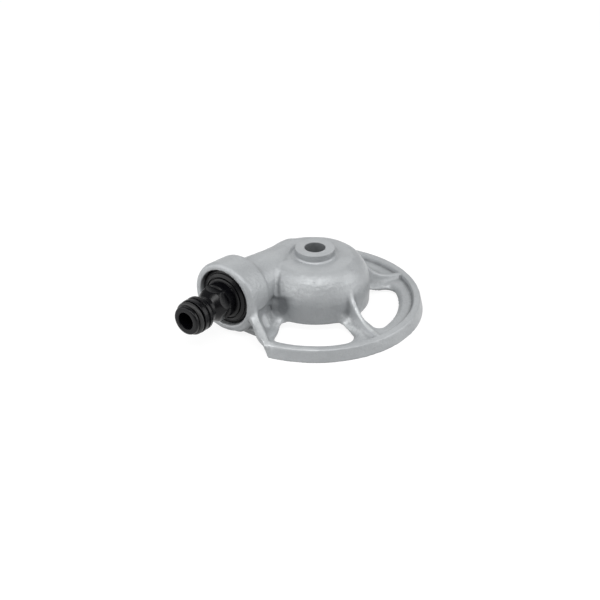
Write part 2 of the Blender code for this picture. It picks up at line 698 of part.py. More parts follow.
def adaptor_outline():
    """Turned section of the adaptor; heights are distances from the tip towards the shank, negated."""
    flange_front = COLLAR_FACE + ADAPTOR_PROTRUSION + RECESS_FLOOR_X
    flange_back = flange_front - WASHER_THICKNESS - 2 * SEAT_GAP
    flange_face = flange_back - FLANGE_THICKNESS
    shank_end = flange_front + THREAD_LENGTH - 2 * SEAT_GAP
    nose_groove_end = NOSE_GROOVE_START + NOSE_GROOVE_WIDTH
    groove_floor = O_RING_RADIUS - O_RING_SECTION - SEAT_GAP
    groove_end = TIP_LENGTH + O_RING_SECTION + 2 * SEAT_GAP
    shank_radius = THREAD_RADIUS - SEAT_GAP
    points = [
        (ADAPTOR_BORE, 0.0),
        *arc((TIP_RADIUS - TIP_ROUNDING, TIP_ROUNDING), TIP_ROUNDING, -0.5 * math.pi, 0.0, ROUNDING_STEPS),
        (TIP_RADIUS + TIP_DRAFT, TIP_LENGTH),
        (groove_floor, TIP_LENGTH),
        (groove_floor, groove_end),
        (NOSE_RADIUS, groove_end),
        (NOSE_RADIUS, NOSE_GROOVE_START),
        (NOSE_RADIUS - NOSE_GROOVE_DEPTH, NOSE_GROOVE_START + NOSE_GROOVE_SIDE),
        (NOSE_RADIUS - NOSE_GROOVE_DEPTH, nose_groove_end - NOSE_GROOVE_SIDE),
        (NOSE_RADIUS, nose_groove_end),
        (NOSE_RADIUS, NOSE_END - NOSE_CHAMFER),
        (NOSE_RADIUS - NOSE_CHAMFER, NOSE_END),
        (WAIST_RADIUS, WAIST_START),
        (WAIST_RADIUS, WAIST_END),
        (BODY_RADIUS - BODY_CHAMFER_DEPTH, BODY_START),
        (BODY_RADIUS, BODY_START + BODY_CHAMFER_LENGTH),
        (BODY_RADIUS, FLANGE_HUB_START),
        (FLANGE_HUB_RADIUS, FLANGE_HUB_START),
        (FLANGE_HUB_RADIUS, flange_face),
        (FLANGE_RADIUS - FLANGE_STEP, flange_face),
        (FLANGE_RADIUS - FLANGE_STEP, flange_face + FLANGE_STEP_DEPTH),
        (FLANGE_RADIUS, flange_face + FLANGE_BEVEL_DEPTH),
        (FLANGE_RADIUS, flange_back),
        (shank_radius, flange_back),
        (shank_radius, shank_end - SHANK_THREAD_ROOT),
        (shank_radius - SHANK_THREAD_ROOT, shank_end),
        (ADAPTOR_BORE, shank_end),
    ]
    return [(radius, -distance) for radius, distance in points]


def hex_cutter(parent):
    """Six-sided sleeve that planes the wrench flats onto the adaptor's body, one of them on top."""
    outer = FLANGE_RADIUS + FLANGE_STEP
    apothem = 0.5 * HEX_ACROSS_FLATS
    builder = bmesh.new()
    loops = []
    for radius in (apothem / math.cos(math.pi / 6.0), outer):
        for distance in (WAIST_END, HEX_END):
            loops.append([
                builder.verts.new((radius * math.cos(math.pi * (side + 0.5) / 3.0),
                                   radius * math.sin(math.pi * (side + 0.5) / 3.0), -distance))
                for side in range(6)
            ])
    inner_front, inner_back, outer_front, outer_back = loops
    for first, second in ((inner_front, outer_front), (outer_front, outer_back),
                          (outer_back, inner_back), (inner_back, inner_front)):
        for side in range(6):
            other = (side + 1) % 6
            builder.faces.new((first[side], first[other], second[other], second[side]))
    bmesh.ops.transform(builder, matrix=along_minus_x(), verts=builder.verts)
    return make_object("hex_cutter", builder, parent)


def make_adaptor(parent, material):
    """Click-on hose adaptor: grooved nose, waist, wrench flats, stepped flange and shank."""
    adaptor = turned("hose_adaptor", adaptor_outline(), ADAPTOR_STEPS, parent, along_minus_x())
    combine(adaptor, hex_cutter(parent), "DIFFERENCE")
    adaptor.data.materials.append(material)
    return adaptor


def make_nose_o_ring(parent, material):
    """Rubber ring in the groove behind the adaptor's tip."""
    distance = TIP_LENGTH + SEAT_GAP + 0.5 * O_RING_SECTION
    middle = O_RING_RADIUS - 0.5 * O_RING_SECTION
    ring = ring_seal("nose_o_ring", middle, 0.5 * O_RING_SECTION, -distance, ADAPTOR_STEPS, O_RING_SIDES,
                     parent, along_minus_x())
    ring.data.materials.append(material)
    return ring


def make_inlet_washer(parent, material):
    """Flat rubber washer between the adaptor's flange and the floor of the recess."""
    floor = COLLAR_FACE + ADAPTOR_PROTRUSION + RECESS_FLOOR_X - SEAT_GAP
    outline = [
        (THREAD_RADIUS, -floor),
        (RECESS_RADIUS - WASHER_EDGE_GAP, -floor),
        (RECESS_RADIUS - WASHER_EDGE_GAP, -floor + WASHER_THICKNESS),
        (THREAD_RADIUS, -floor + WASHER_THICKNESS),
    ]
    washer = turned("inlet_washer", outline, BORE_STEPS, parent, along_minus_x())
    washer.data.materials.append(material)
    return washer


def main():
    clear_scene()
    swirl_axis = make_axis("swirl_axis", (SWIRL_AXIS_X, 0.0, 0.0))
    inlet_axis = make_axis("inlet_axis", (SWIRL_AXIS_X + TIP_X, INLET_OFFSET, INLET_HEIGHT))
    grey = make_material(GREY_CASTING)
    steel = make_material(PLATED_STEEL)
    plastic = make_material(BLACK_PLASTIC)
    rubber = make_material(BLACK_RUBBER)
    make_casting(swirl_axis, grey)
    make_cover(swirl_axis, steel)
    make_cover_gasket(swirl_axis, rubber)
    make_adaptor(inlet_axis, plastic)
    make_nose_o_ring(inlet_axis, rubber)
    make_inlet_washer(inlet_axis, rubber)
    bpy.context.view_layer.update()


main()
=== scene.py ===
"""Stationary garden sprinkler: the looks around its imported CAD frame.

The die-cast body is skinned from its solid with soft cast fillets and a shot-blasted surface. The nozzle
boss, the hose adaptor, its ring and its washer are turned again with rounded edges, a moulded thread and a
hex. The pressed cover and its gasket keep their solids and get materials only.
Scene lengths are in metres, +Z is up and the inlet points along -X. The casting is shaped in millimetres
from the swirl axis on the floor, and the adaptor in millimetres from its tip.
"""

import math

import bmesh
import bpy
import numpy as np
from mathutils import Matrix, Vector


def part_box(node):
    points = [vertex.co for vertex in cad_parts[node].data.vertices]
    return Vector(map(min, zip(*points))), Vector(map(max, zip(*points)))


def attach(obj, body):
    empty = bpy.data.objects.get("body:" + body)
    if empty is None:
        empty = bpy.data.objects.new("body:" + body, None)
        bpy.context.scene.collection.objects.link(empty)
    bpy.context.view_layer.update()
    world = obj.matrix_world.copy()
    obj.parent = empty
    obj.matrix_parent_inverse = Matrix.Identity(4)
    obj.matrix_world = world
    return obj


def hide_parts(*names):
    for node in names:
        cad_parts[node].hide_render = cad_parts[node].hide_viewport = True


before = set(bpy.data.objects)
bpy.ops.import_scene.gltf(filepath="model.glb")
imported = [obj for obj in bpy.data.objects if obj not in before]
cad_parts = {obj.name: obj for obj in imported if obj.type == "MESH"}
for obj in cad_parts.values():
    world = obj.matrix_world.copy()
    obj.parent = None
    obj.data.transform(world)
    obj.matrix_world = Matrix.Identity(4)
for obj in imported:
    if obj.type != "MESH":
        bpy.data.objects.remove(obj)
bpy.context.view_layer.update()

MM = 0.001
cover_low, cover_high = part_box("bottom_cover")
washer_low, washer_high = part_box("inlet_washer")
SWIRL_X = 0.5 * (cover_low.x + cover_high.x)
INLET_Y = 0.5 * (washer_low.y + washer_high.y)
INLET_Z = 0.5 * (washer_low.z + washer_high.z)
TIP_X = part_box("hose_adaptor")[0].x


# Casting, in millimetres from the swirl axis on the floor

# Dome: its wall's radius, where its shoulder begins, the shoulder's foot and its rise from there to the crown
CHAMBER_R = 27.9
SHOULDER_R = 17.5
SHOULDER_Z = 12.2
DOME_RISE = 17.2

# Flat crown that carries the machined boss, and the bore through both
CROWN_R = 12.2
CROWN_Z = 29.42
BORE_R = 6.9
BORE_LOW_Z = 20.0

# Horn's outer form: x, the section's middle (y, z) and its radius at three places
HORN = ((-34.6, 19.4, 18.9, 13.4), (2.0, 15.4, 17.0, 13.9), (21.0, 6.0, 14.5, 13.2))

# Horn's near side: how much fuller it is, as (x, more), in what thickness, and the ledge that it ends on
HORN_FULLER = ((-36.0, 1.0), (-33.5, 1.0), (-31.5, 0.85), (-29.0, 0.75), (-26.6, 0.7), (-24.1, 0.65),
               (-22.4, 0.8), (-20.0, 1.4), (-16.5, 1.5), (-12.0, 1.1), (-7.0, 0.5), (-2.0, 0.0))
FULLER_LAYER = 2.6
LEDGE_Z = 16.4

# Point inside the dome that lines on it face away from, and the direction of their horn side
DOME_MIDDLE = (0.0, 0.0, 14.0)
HORN_SIDE = (-0.5, 0.85, 0.0)

# Height that the outline against the ground asks of the horn's crest, as (x, rise)
CREST = ((-31.0, 0.0), (-26.0, -0.3), (-15.0, -0.4), (-3.0, -0.3), (1.0, 0.0), (5.0, 0.4), (10.0, 0.4),
         (14.0, 0.0))

# Crease where the horn's end meets the dome, the point that it rises away from, the stretch over which it
# grows, and its swell on the horn's side and its bead
CREASE = ((-13.0, 8.8, 29.6), (-16.5, 7.9, 29.3), (-20.0, 6.8, 28.3), (-22.4, 6.2, 26.4), (-24.1, 5.5, 24.4),
          (-25.6, 4.8, 21.9), (-26.6, 4.0, 19.3), (-27.2, 3.4, 16.6))
CREASE_CENTRE = (0.0, 0.0, 12.0)
CREASE_GROWTH = (0.05, 0.4)
SWELL_HEIGHT = 0.3
SWELL_WIDTH = 3.2
SWELL_SIDE = (-0.5, 0.7)
BEAD_HEIGHT = 1.1
BEAD_WIDTH = 1.15

# Pocket in the dome's wall under the ledge, with its upper edge as (y, z)
POCKET_Y = -0.6
POCKET_WIDTH = 4.2
POCKET_DEPTH = 1.3
POCKET_BACK_X = -18.0
POCKET_LIP = 0.7
POCKET_FOOT_Z = (6.0, 12.0)
POCKET_TOP = ((-4.0, 18.5), (0.0, 17.6), (2.0, 16.6), (4.0, 16.4))

# Recess inside the collar: how far from the inlet's axis and how far in its wall reaches
RECESS_R = 15.4
RECESS_END_X = -36.0

# Ring's rim and lip as (radius, height, rounding), the corner where the strut meets the ring, the direction
# that leads away from the strut there, the x past which the ring is clear of the collar, and the bands of
# distance, radius and clearance over which the section takes hold
RING_SECTION = ((49.4, 1.6, 0.6), (51.0, 0.0, 0.3), (55.0, 0.0, 0.4), (53.5, 6.6, 1.0), (50.1, 6.6, 0.45),
                (49.4, 4.2, 0.7))
RING_CORNER = (-53.4, -11.9)
CORNER_AWAY = (0.782, -0.623)
COLLAR_CLEAR_X = -42.0
RING_REACH = (0.5, 0.9)
RING_INNER_R = (48.9, 49.5)
RING_CLEAR = (0.9, 2.2)

# Strut's edge, and the round bar under it with the stretch at its foot
STRUT = ((-45.6, 2.3, 16.8), (-46.5, -0.3, 13.7), (-48.3, -4.1, 10.9), (-50.0, -7.9, 8.1),
         (-52.2, -11.4, 6.6))
STRUT_BAR = ((-46.6, 4.0, 14.0), (-47.8, 1.9, 12.8), (-48.8, 0.2, 11.6), (-50.4, -2.8, 9.6),
             (-51.6, -6.2, 7.2), (-52.1, -8.6, 5.4))
BAR_RADII = (1.35, 1.35, 1.35, 1.25, 1.0, 0.7)
BAR_SIDES = 16
STRUT_FOOT = STRUT_BAR[3:]

# How far from the strut, its foot and its corner with the ring the skin is evened out, and how much fuller
# the strut gets
STRUT_REACH = 3.4
STRUT_FOOT_REACH = 3.0
CORNER_REACH = 2.2
STRUT_PUSH = 0.4

# Front rib's edge, and the stretch of the ring's rim in front of the strut
RIB_EDGE = ((-6.5, -26.2, 18.5), (-7.8, -30.0, 13.0), (-9.2, -34.0, 10.6), (-10.9, -38.3, 8.6),
            (-12.6, -43.7, 7.3))
RING_EDGE = ((-42.6, -32.2, 6.6), (-53.2, -12.6, 6.6))

# Tones, mostly painted light and shade: soft lines as (points, width, strength) and soft spots as (middle,
# reach, strength)
# Ridge tops of the strut, the front rib and the ring's rim: a painted highlight on their upward faces
PAINTED_RIDGE_HIGHLIGHTS = ((STRUT, 2.3, 0.8), (RIB_EDGE, 1.0, 0.7), (RING_EDGE, 1.4, 0.35))
# Rough streaks: cast texture in the bump, and a painted highlight in the colour
ROUGH_LINES_AND_PAINTED_HIGHLIGHTS = (
    (((-12.0, -26.0, 7.6), (-10.8, -29.5, 5.2), (-11.8, -33.5, 4.2), (-13.9, -40.0, 4.2)), 2.3, 1.0),
    (((29.2, -16.2, 5.8), (36.1, -19.6, 5.0), (43.0, -23.0, 4.8)), 0.7, 0.6),
    (((28.4, -18.7, 3.6), (34.6, -22.4, 3.9)), 0.7, 0.5),
    (((-33.4, 4.6, 6.0), (-32.9, 1.0, 5.2), (-31.0, -2.2, 4.6)), 3.0, 0.9),
    (((-25.9, -0.8, 21.6), (-24.9, -7.4, 21.2), (-22.0, -13.0, 21.0)), 2.6, 0.5),
)
# Painted shade in the pocket under the ledge
PAINTED_SHADE_SPOTS = (((-27.9, -1.0, 12.8), 3.4, 0.8), ((-27.9, -1.0, 8.8), 2.6, 0.4))
ROUGH_SPOTS = (((-25.5, -6.0, 20.0), 4.0, 1.0), ((-33.0, 1.0, 5.5), 3.4, 1.6),
               ((-11.0, -31.0, 4.8), 3.4, 1.2), ((34.0, -22.0, 4.6), 3.6, 1.0),
               ((-27.0, 7.0, 26.0), 6.0, 0.4))

# Hollow between dome, horn and strut that the casting fills, as (middle, reach, height)
FILL_SPOTS = (((-28.4, 7.0, 12.0), 3.4, 2.0),)

# Bands over which a share of the skin eases in or out, as (low, high)
CROWN_EDGE_R = (CROWN_R, 14.0)
CROWN_EDGE_Z = (26.0, 28.0)
RIM_EDGE_R = (47.6, 49.6)
RIM_TOP_Z = (7.6, 9.0)
LEDGE_EDGE_Z = (LEDGE_Z - 0.3, LEDGE_Z + 0.3)
COLLAR_SIDE_Z = (9.0, 17.0)
COLLAR_BACK_X = (-32.0, -28.5)
HORN_NEAR_Y = (14.0, 18.0)
HORN_START_X = (-35.5, -33.0)
HORN_END_X = (-6.0, -1.0)
CREST_Y = (6.0, 13.0)
CREST_Z = (20.0, 26.0)
FOOT_TOP_Z = (3.6, 4.6)
FOOT_INNER_R = (27.0, 27.6)
FOOT_OUTER_R = (28.6, 29.4)
WINDOW_END_R = (48.8, 49.4)
BORE_EDGE_R = (6.8, 7.4)
BORE_EDGE_Z = (23.0, 24.0)
COLLAR_X = (-37.0, -33.0)
COLLAR_SKIN_R = (15.8, 16.6)
COLLAR_LOW_Z = (2.5, 4.0)
MOUTH_X = (-48.6, -47.0)
COLLAR_WALL_R = (17.4, 18.8)
STRUT_FOOT_Z = (1.0, 3.0)
STRUT_FULL_Z = (6.8, 9.2)
CORNER_FOOT_Z = (0.2, 1.0)

# How far the chamber's foot, the collar's underside and the inlet's mouth come out, and the bore goes back
FOOT_PUSH = 0.85
COLLAR_PUSH = 0.9
MOUTH_PUSH = 0.35
MOUTH_R = 14.8
MOUTH_WIDTH = 0.7
BORE_TRIM = 0.4

# Edge length of the skin's mesh, and how deep under the outer form a point counts as inside the chamber
SKIN_STEP = 0.62
INSIDE_DEPTH = 1.4

# Fillets: none below this height, and what share of them the ring's rim and the crease hold back
FILLET_LOW_Z = 1.2
RIM_HOLD = 0.93
CREASE_HOLD = 0.97
CREASE_HOLD_WIDTH = 2.8

# Lumps and slow swell of the cast surface, as (size, height, more where it is rough)
LUMPS = ((2.6, 0.05, 0.10), (1.4, 0.028, 0.06), (8.0, 0.08, 0.0))

# Lattice noise: its shift for each seed and the odd numbers that mix a cell into a value
NOISE_SHIFT = (11.3, 5.7, 3.1)
HASH_STEPS = (374761393, 668265263, 2147483647)
SEED_STEP = 974711
HASH_MIX = 1274126177


# Nozzle boss, in the same millimetres

BOSS_R = 10.0
BOSS_TOP_Z = 33.4
BOSS_BORE_R = 5.2


# Adaptor and its seals, in millimetres from the adaptor's tip

ADAPTOR_BORE_R = 4.4
GROOVE_R = 5.7
NOSE_R = 8.6
BODY_R = 9.0
FLANGE_R = 14.2
FLANGE_BACK = 31.9
SHANK_R = 9.5
SHANK_END = 44.3
HEX_FLAT = 7.9
HEX_SPAN = (15.4, 22.6)
HEX_LEAST_R = 5.0
HEX_SOFT = 0.12
THREAD_FROM = 34.5
THREAD_LEAST_R = 8.6
THREAD_PITCH = 1.81
THREAD_DEPTH = 0.75
O_RING_MIDDLE_R = 7.2
O_RING_THICK_R = 1.2
O_RING_PLACE = 3.5
WASHER_HOLE_R = 9.8
WASHER_FRONT = 32.2
WASHER_BACK = 34.2


# Colours

CAST_LOW = (0.385, 0.401, 0.414, 1.0)
CAST_HIGH = (0.45, 0.468, 0.48, 1.0)
CAST_GRAIN = (0.53, 0.548, 0.562, 1.0)
# Lighter grey for rubbed edges and for painted highlights
CAST_WORN_AND_PAINTED_HIGHLIGHT = (0.66, 0.678, 0.69, 1.0)
# Dark grey for painted shade in corners, recesses and under parts
CAST_PAINTED_SHADE = (0.13, 0.137, 0.145, 1.0)
PLASTIC_BLACK = (0.002, 0.002, 0.003, 1.0)
PLASTIC_SCUFF = (0.009, 0.009, 0.010, 1.0)
RUBBER_BLACK = (0.012, 0.012, 0.012, 1.0)
RUBBER_BLOOM = (0.032, 0.032, 0.033, 1.0)
STEEL_LOW = (0.50, 0.51, 0.52, 1.0)
STEEL_HIGH = (0.62, 0.63, 0.64, 1.0)
STEEL_STAIN = (0.36, 0.35, 0.33, 1.0)
FLOOR_TONE = (0.16, 0.16, 0.16, 1.0)


# Camera, floor and lamps, in metres and degrees

CAMERA_AZIMUTH = -52.87
CAMERA_ELEVATION = 29.88
CAMERA_DISTANCE = 0.678
CAMERA_LENS = 80.0
CAMERA_SENSOR = 36.0
AIM_HEIGHT = 0.00312
AIM_SHIFT = -0.00744
FLOOR_HALF = 3.0
FLOOR_GLOW = 0.90
LAMP_AIM_HEIGHT = 0.02


# Shares and shapes

def smooth_step(value, low, high):
    """0 below low, 1 above high, easing between."""
    share = np.clip((value - low) / (high - low), 0.0, 1.0)
    return share * share * (3.0 - 2.0 * share)


def fade(value, low, high):
    """1 below low, 0 above high, easing between."""
    return smooth_step(-value, -high, -low)


def bell(distance, width):
    """1 at no distance, falling away over about the width."""
    return np.exp(-(distance / width) ** 2)


def rounded(corners, steps):
    """Closed outline from (radius, distance, rounding) corners."""
    made = []
    count = len(corners)
    for index, (radius, distance, rounding) in enumerate(corners):
        here = Vector((radius, distance))
        before = Vector(corners[index - 1][:2]) - here
        after = Vector(corners[(index + 1) % count][:2]) - here
        half = 0.5 * before.angle(after)
        if rounding <= 0.0 or abs(half - 0.5 * math.pi) < 0.03:
            made.append(here)
            continue
        cut = min(rounding / max(math.tan(half), 1e-3), 0.49 * min(before.length, after.length))
        start = here + before.normalized() * cut
        end = here + after.normalized() * cut
        for step in range(steps + 1):
            t = step / steps
            made.append(start * (1 - t) ** 2 + here * 2 * t * (1 - t) + end * t * t)
    return made


def refined(outline, longest):
    """Outline with long stretches split, so that patterns in depth have points to move."""
    made = []
    for here, after in zip(outline, outline[1:] + outline[:1]):
        pieces = max(1, math.ceil((after - here).length / longest))
        made += [here.lerp(after, step / pieces) for step in range(pieces)]
    return made


def add_object(name, mesh):
    obj = bpy.data.objects.new(name, mesh)
    bpy.context.scene.collection.objects.link(obj)
    return obj


def turned(name, outline, steps, upright=False, shape=None):
    """Surface of revolution about the inlet axis, or the swirl axis where upright. Outline points are
    (radius, distance from the tip) or (radius, height) in millimetres; shape(radius, distance, angle) may
    change the radius."""
    points = np.array([tuple(point) for point in outline])
    angles = np.arange(steps) * 2.0 * math.pi / steps
    radius = np.repeat(points[:, :1], steps, axis=1)
    depth = np.repeat(points[:, 1:], steps, axis=1)
    turn = np.repeat(angles[None, :], len(points), axis=0)
    if shape is not None:
        radius = shape(radius, depth, turn)
    across = radius * np.cos(turn) * MM
    up = radius * np.sin(turn) * MM
    if upright:
        places = np.stack([SWIRL_X + across, up, depth * MM], -1).reshape(-1, 3)
    else:
        places = np.stack([TIP_X + depth * MM, INLET_Y + across, INLET_Z + up], -1).reshape(-1, 3)
    rows = len(points)
    row, column = np.meshgrid(np.arange(rows), np.arange(steps), indexing="ij")
    next_row = (row + 1) % rows
    next_column = (column + 1) % steps
    faces = np.stack([row * steps + column, next_row * steps + column,
                      next_row * steps + next_column, row * steps + next_column], -1).reshape(-1, 4)
    mesh = bpy.data.meshes.new(name)
    mesh.from_pydata(places.tolist(), [], faces.tolist())
    builder = bmesh.new()
    builder.from_mesh(mesh)
    bmesh.ops.recalc_face_normals(builder, faces=builder.faces)
    builder.to_mesh(mesh)
    builder.free()
    mesh.shade_smooth()
    mesh.set_sharp_from_angle(angle=math.radians(40.0))
    return add_object(name, mesh)


def store(mesh, name, values):
    """Keep one value for each point, for a material to read."""
    attribute = mesh.attributes.new(name, "FLOAT", "POINT")
    attribute.data.foreach_set("value", values.astype(np.float32))


class Net:
    """Points of a mesh with their neighbours, for smoothing in bulk."""

    def __init__(self, mesh):
        self.mesh = mesh
        self.co = np.zeros(len(mesh.vertices) * 3, np.float32)
        mesh.vertices.foreach_get("co", self.co)
        self.co = self.co.reshape(-1, 3).astype(np.float64)
        edges = np.zeros(len(mesh.edges) * 2, np.int32)
        mesh.edges.foreach_get("vertices", edges)
        edges = edges.reshape(-1, 2)
        first = np.concatenate([edges[:, 0], edges[:, 1]])
        second = np.concatenate([edges[:, 1], edges[:, 0]])
        order = np.argsort(first, kind="stable")
        self.other = second[order]
        self.start = np.searchsorted(first[order], np.arange(len(self.co)))
        self.count = np.bincount(first, minlength=len(self.co)).astype(np.float64)

    def write(self):
        self.mesh.vertices.foreach_set("co", self.co.astype(np.float32).ravel())
        self.mesh.update()

    def normals(self):
        self.write()
        out = np.zeros(len(self.co) * 3, np.float32)
        self.mesh.vertex_normals.foreach_get("vector", out)
        return out.reshape(-1, 3).astype(np.float64)

    def mean(self, values):
        """Mean of the neighbours' values."""
        total = np.add.reduceat(values[self.other], self.start, axis=0)
        return total / (self.count[:, None] if values.ndim == 2 else self.count)

    def pull(self):
        """Vector from each point to the middle of its neighbours."""
        return self.mean(self.co) - self.co

    def relax(self, rounds, share):
        """Plain smoothing, by each point's share."""
        for _ in range(rounds):
            self.co += (0.5 * share)[:, None] * self.pull()

    def smooth(self, rounds, share=1.0):
        """Smoothing that doesn't shrink the form."""
        weight = share if np.isscalar(share) else share[:, None]
        for _ in range(rounds):
            self.co += 0.5 * weight * self.pull()
            self.co -= 0.53 * weight * self.pull()

    def soften(self, rounds, share):
        """Fill hollow corners, and only those, as the radii of a casting do."""
        for step in range(rounds):
            if step % 6 == 0:
                normal = self.normals()
            lift = np.maximum((self.pull() * normal).sum(1), 0.0)
            self.co += (0.5 * share * lift)[:, None] * normal

    def round_edges(self, rounds, least):
        """Plain smoothing where the surface bends outwards by more than least, in the mesh's unit."""
        for _ in range(rounds):
            pull = self.pull()
            bend = -(pull * self.normals()).sum(1)
            self.co += (0.5 * smooth_step(bend, least, 2.5 * least))[:, None] * pull


# Casting

def horn_section(x):
    """Middle (y, z) and radius of the horn's outer form at x."""
    first, middle, last = HORN
    before = (x - first[0]) / (middle[0] - first[0])
    after = (x - middle[0]) / (last[0] - middle[0])
    ease = smooth_step(np.where(x < middle[0], before, after), 0.0, 1.0)
    return [np.where(x < middle[0], a + (b - a) * ease, b + (c - b) * ease)
            for a, b, c in zip(first[1:], middle[1:], last[1:])]


def horn_inside(points):
    """How far each point lies inside the horn's outer form."""
    x, y, z = points.T
    middle_y, middle_z, radius = horn_section(x)
    within = (x > HORN[0][0] - 2.0) & (x < HORN[-1][0])
    return np.where(within, radius - np.hypot(y - middle_y, z - middle_z), -np.inf)


def dome_inside(points):
    """How far each point lies inside the dome's outer form."""
    x, y, z = points.T
    radius = np.hypot(x, y)
    out = np.clip((radius - SHOULDER_R) / (CHAMBER_R - SHOULDER_R), 0.0, 1.0)
    top = SHOULDER_Z + DOME_RISE * np.sqrt(1.0 - out * out)
    return np.minimum(CHAMBER_R - radius, top - z)


def from_inlet(points):
    """Offset of each point from the inlet's axis, sideways and up, and its distance."""
    sideways = points[:, 1] - INLET_Y / MM
    upwards = points[:, 2] - INLET_Z / MM
    return sideways, upwards, np.hypot(sideways, upwards)


def lattice_noise(points, size, seed):
    """Smooth noise from -1 to 1, one swell per size."""
    scaled = points / size + np.array(NOISE_SHIFT) * (seed + 1)
    base = np.floor(scaled).astype(np.int64)
    part = scaled - base
    ease = part * part * part * (part * (part * 6 - 15) + 10)
    total = np.zeros(len(points))
    for corner in range(8):
        offset = np.array([corner & 1, corner >> 1 & 1, corner >> 2 & 1])
        mixed = (base + offset) @ np.array(HASH_STEPS) + seed * SEED_STEP
        mixed = (mixed ^ (mixed >> 13)) * HASH_MIX & 0x7FFFFFFF
        value = (mixed ^ (mixed >> 16)) % 65536 / 32767.5 - 1.0
        total += value * np.prod(np.where(offset == 1, ease, 1 - ease), axis=1)
    return total


def along_line(points, line):
    """Distance of each point from a polyline on the dome, how far along it the point lies, from 0 to 1, and
    how far to its horn side."""
    best = np.full(len(points), 1e9)
    place = np.zeros(len(points))
    side = np.zeros(len(points))
    corners = np.array(line)
    steps = corners[1:] - corners[:-1]
    lengths = np.linalg.norm(steps, axis=1)
    for index, (start, step) in enumerate(zip(corners, steps)):
        t = np.clip(((points - start) @ step) / (step @ step), 0.0, 1.0)
        offset = points - start - t[:, None] * step
        far = np.linalg.norm(offset, axis=1)
        outward = start + 0.5 * step - np.array(DOME_MIDDLE)
        across = np.cross(step, outward)
        across /= np.linalg.norm(across) * math.copysign(1.0, across @ np.array(HORN_SIDE))
        nearer = far < best
        best = np.where(nearer, far, best)
        place = np.where(nearer, (lengths[:index].sum() + t * lengths[index]) / lengths.sum(), place)
        side = np.where(nearer, offset @ across, side)
    return best, place, side


def about_lines(points, lines):
    """Sum of soft (points, width, strength) lines."""
    return sum(strength * bell(along_line(points, line)[0], width) for line, width, strength in lines)


def about_spots(points, spots):
    """Sum of soft (middle, reach, strength) spots."""
    return sum(strength * np.exp(-((points - np.array(middle)) ** 2).sum(1) / reach ** 2)
               for middle, reach, strength in spots)


def skin_shares(points):
    """Shares, from 0 to 1, of each point in the outer surface, in the boss's crown and in the ring's rim."""
    x, y, z = points.T
    radius = np.hypot(x, y)
    inside = np.maximum(dome_inside(points), horn_inside(points)) > INSIDE_DEPTH
    in_recess = (from_inlet(points)[2] < RECESS_R) & (x < RECESS_END_X)
    in_bore = (radius < BORE_R) & (z > BORE_LOW_Z)
    outside = np.where(inside | in_recess | in_bore, 0.0, 1.0)
    crown = fade(radius, *CROWN_EDGE_R) * smooth_step(z, *CROWN_EDGE_Z)
    rim = smooth_step(radius, *RIM_EDGE_R) * fade(z, *RIM_TOP_Z)
    return outside, crown, rim


def fuller_horn(points, outside):
    """Move that swells the horn's near side behind the collar, down to a ledge."""
    x, y, z = points.T
    middle_y, middle_z, radius = horn_section(x)
    more = np.interp(x, *zip(*HORN_FULLER))
    offset = points[:, 1:] - np.stack([middle_y - more, middle_z - more], -1)
    far = np.maximum(np.linalg.norm(offset, axis=1), 1e-6)
    short = np.clip(radius + more - far, 0.0, FULLER_LAYER)
    soft = fade(x, *COLLAR_BACK_X)
    above = (1 - soft) * smooth_step(z, *LEDGE_EDGE_Z) + soft * smooth_step(z, *COLLAR_SIDE_Z)
    near_side = fade(y, *HORN_NEAR_Y) * smooth_step(x, *HORN_START_X)
    push = short * outside * above * near_side * fade(x, *HORN_END_X)
    moved = np.zeros_like(points)
    moved[:, 1:] = offset * (push / far)[:, None]
    return moved


def crease_step(points):
    """Height that the horn's end stands over the dome along the crease, with a bead on its edge, and each
    point's distance from the crease."""
    far, place, side = along_line(points, CREASE)
    rise = SWELL_HEIGHT * bell(far, SWELL_WIDTH) * smooth_step(side, *SWELL_SIDE)
    rise += BEAD_HEIGHT * bell(far, BEAD_WIDTH)
    return rise * smooth_step(place, *CREASE_GROWTH) * smooth_step(points[:, 2], *LEDGE_EDGE_Z), far


def pocket_depth(points):
    """Depth of the pocket in the dome's wall under the ledge."""
    x, y, z = points.T
    near = bell(y - POCKET_Y, POCKET_WIDTH) * (x < POCKET_BACK_X)
    below = np.interp(y, *zip(*POCKET_TOP)) - z
    return POCKET_DEPTH * near * smooth_step(below, 0.0, POCKET_LIP) * smooth_step(z, *POCKET_FOOT_Z)


def crest_trim(points):
    """Move that brings the horn's crest to the height of its outline against the ground."""
    x, y, z = points.T
    rise = np.interp(x, *zip(*CREST)) * (smooth_step(y, *CREST_Y) * smooth_step(z, *CREST_Z))
    return np.stack([np.zeros(len(points)), np.zeros(len(points)), rise], -1)


def ring_fit(points):
    """Move that brings points near the ring's rim and lip onto their rounded section."""
    x, y, z = points.T
    radius = np.maximum(np.hypot(x, y), 1e-6)
    flat = np.stack([radius, z], -1)
    best = np.full(len(points), 1e9)
    move = np.zeros_like(flat)
    corners = np.array([tuple(corner) for corner in rounded(RING_SECTION, 6)])
    for start, end in zip(corners, np.roll(corners, -1, axis=0)):
        step = end - start
        t = np.clip(((flat - start) @ step) / max(step @ step, 1e-9), 0.0, 1.0)
        offset = start + t[:, None] * step - flat
        far = np.hypot(offset[:, 0], offset[:, 1])
        nearer = far < best
        best = np.where(nearer, far, best)
        move = np.where(nearer[:, None], offset, move)
    clear = np.maximum(x - COLLAR_CLEAR_X, (points[:, :2] - np.array(RING_CORNER)) @ np.array(CORNER_AWAY))
    share = fade(best, *RING_REACH) * smooth_step(radius, *RING_INNER_R) * smooth_step(clear, *RING_CLEAR)
    outward = points[:, :2] / radius[:, None]
    return np.concatenate([outward * (share * move[:, 0])[:, None], (share * move[:, 1])[:, None]], axis=1)


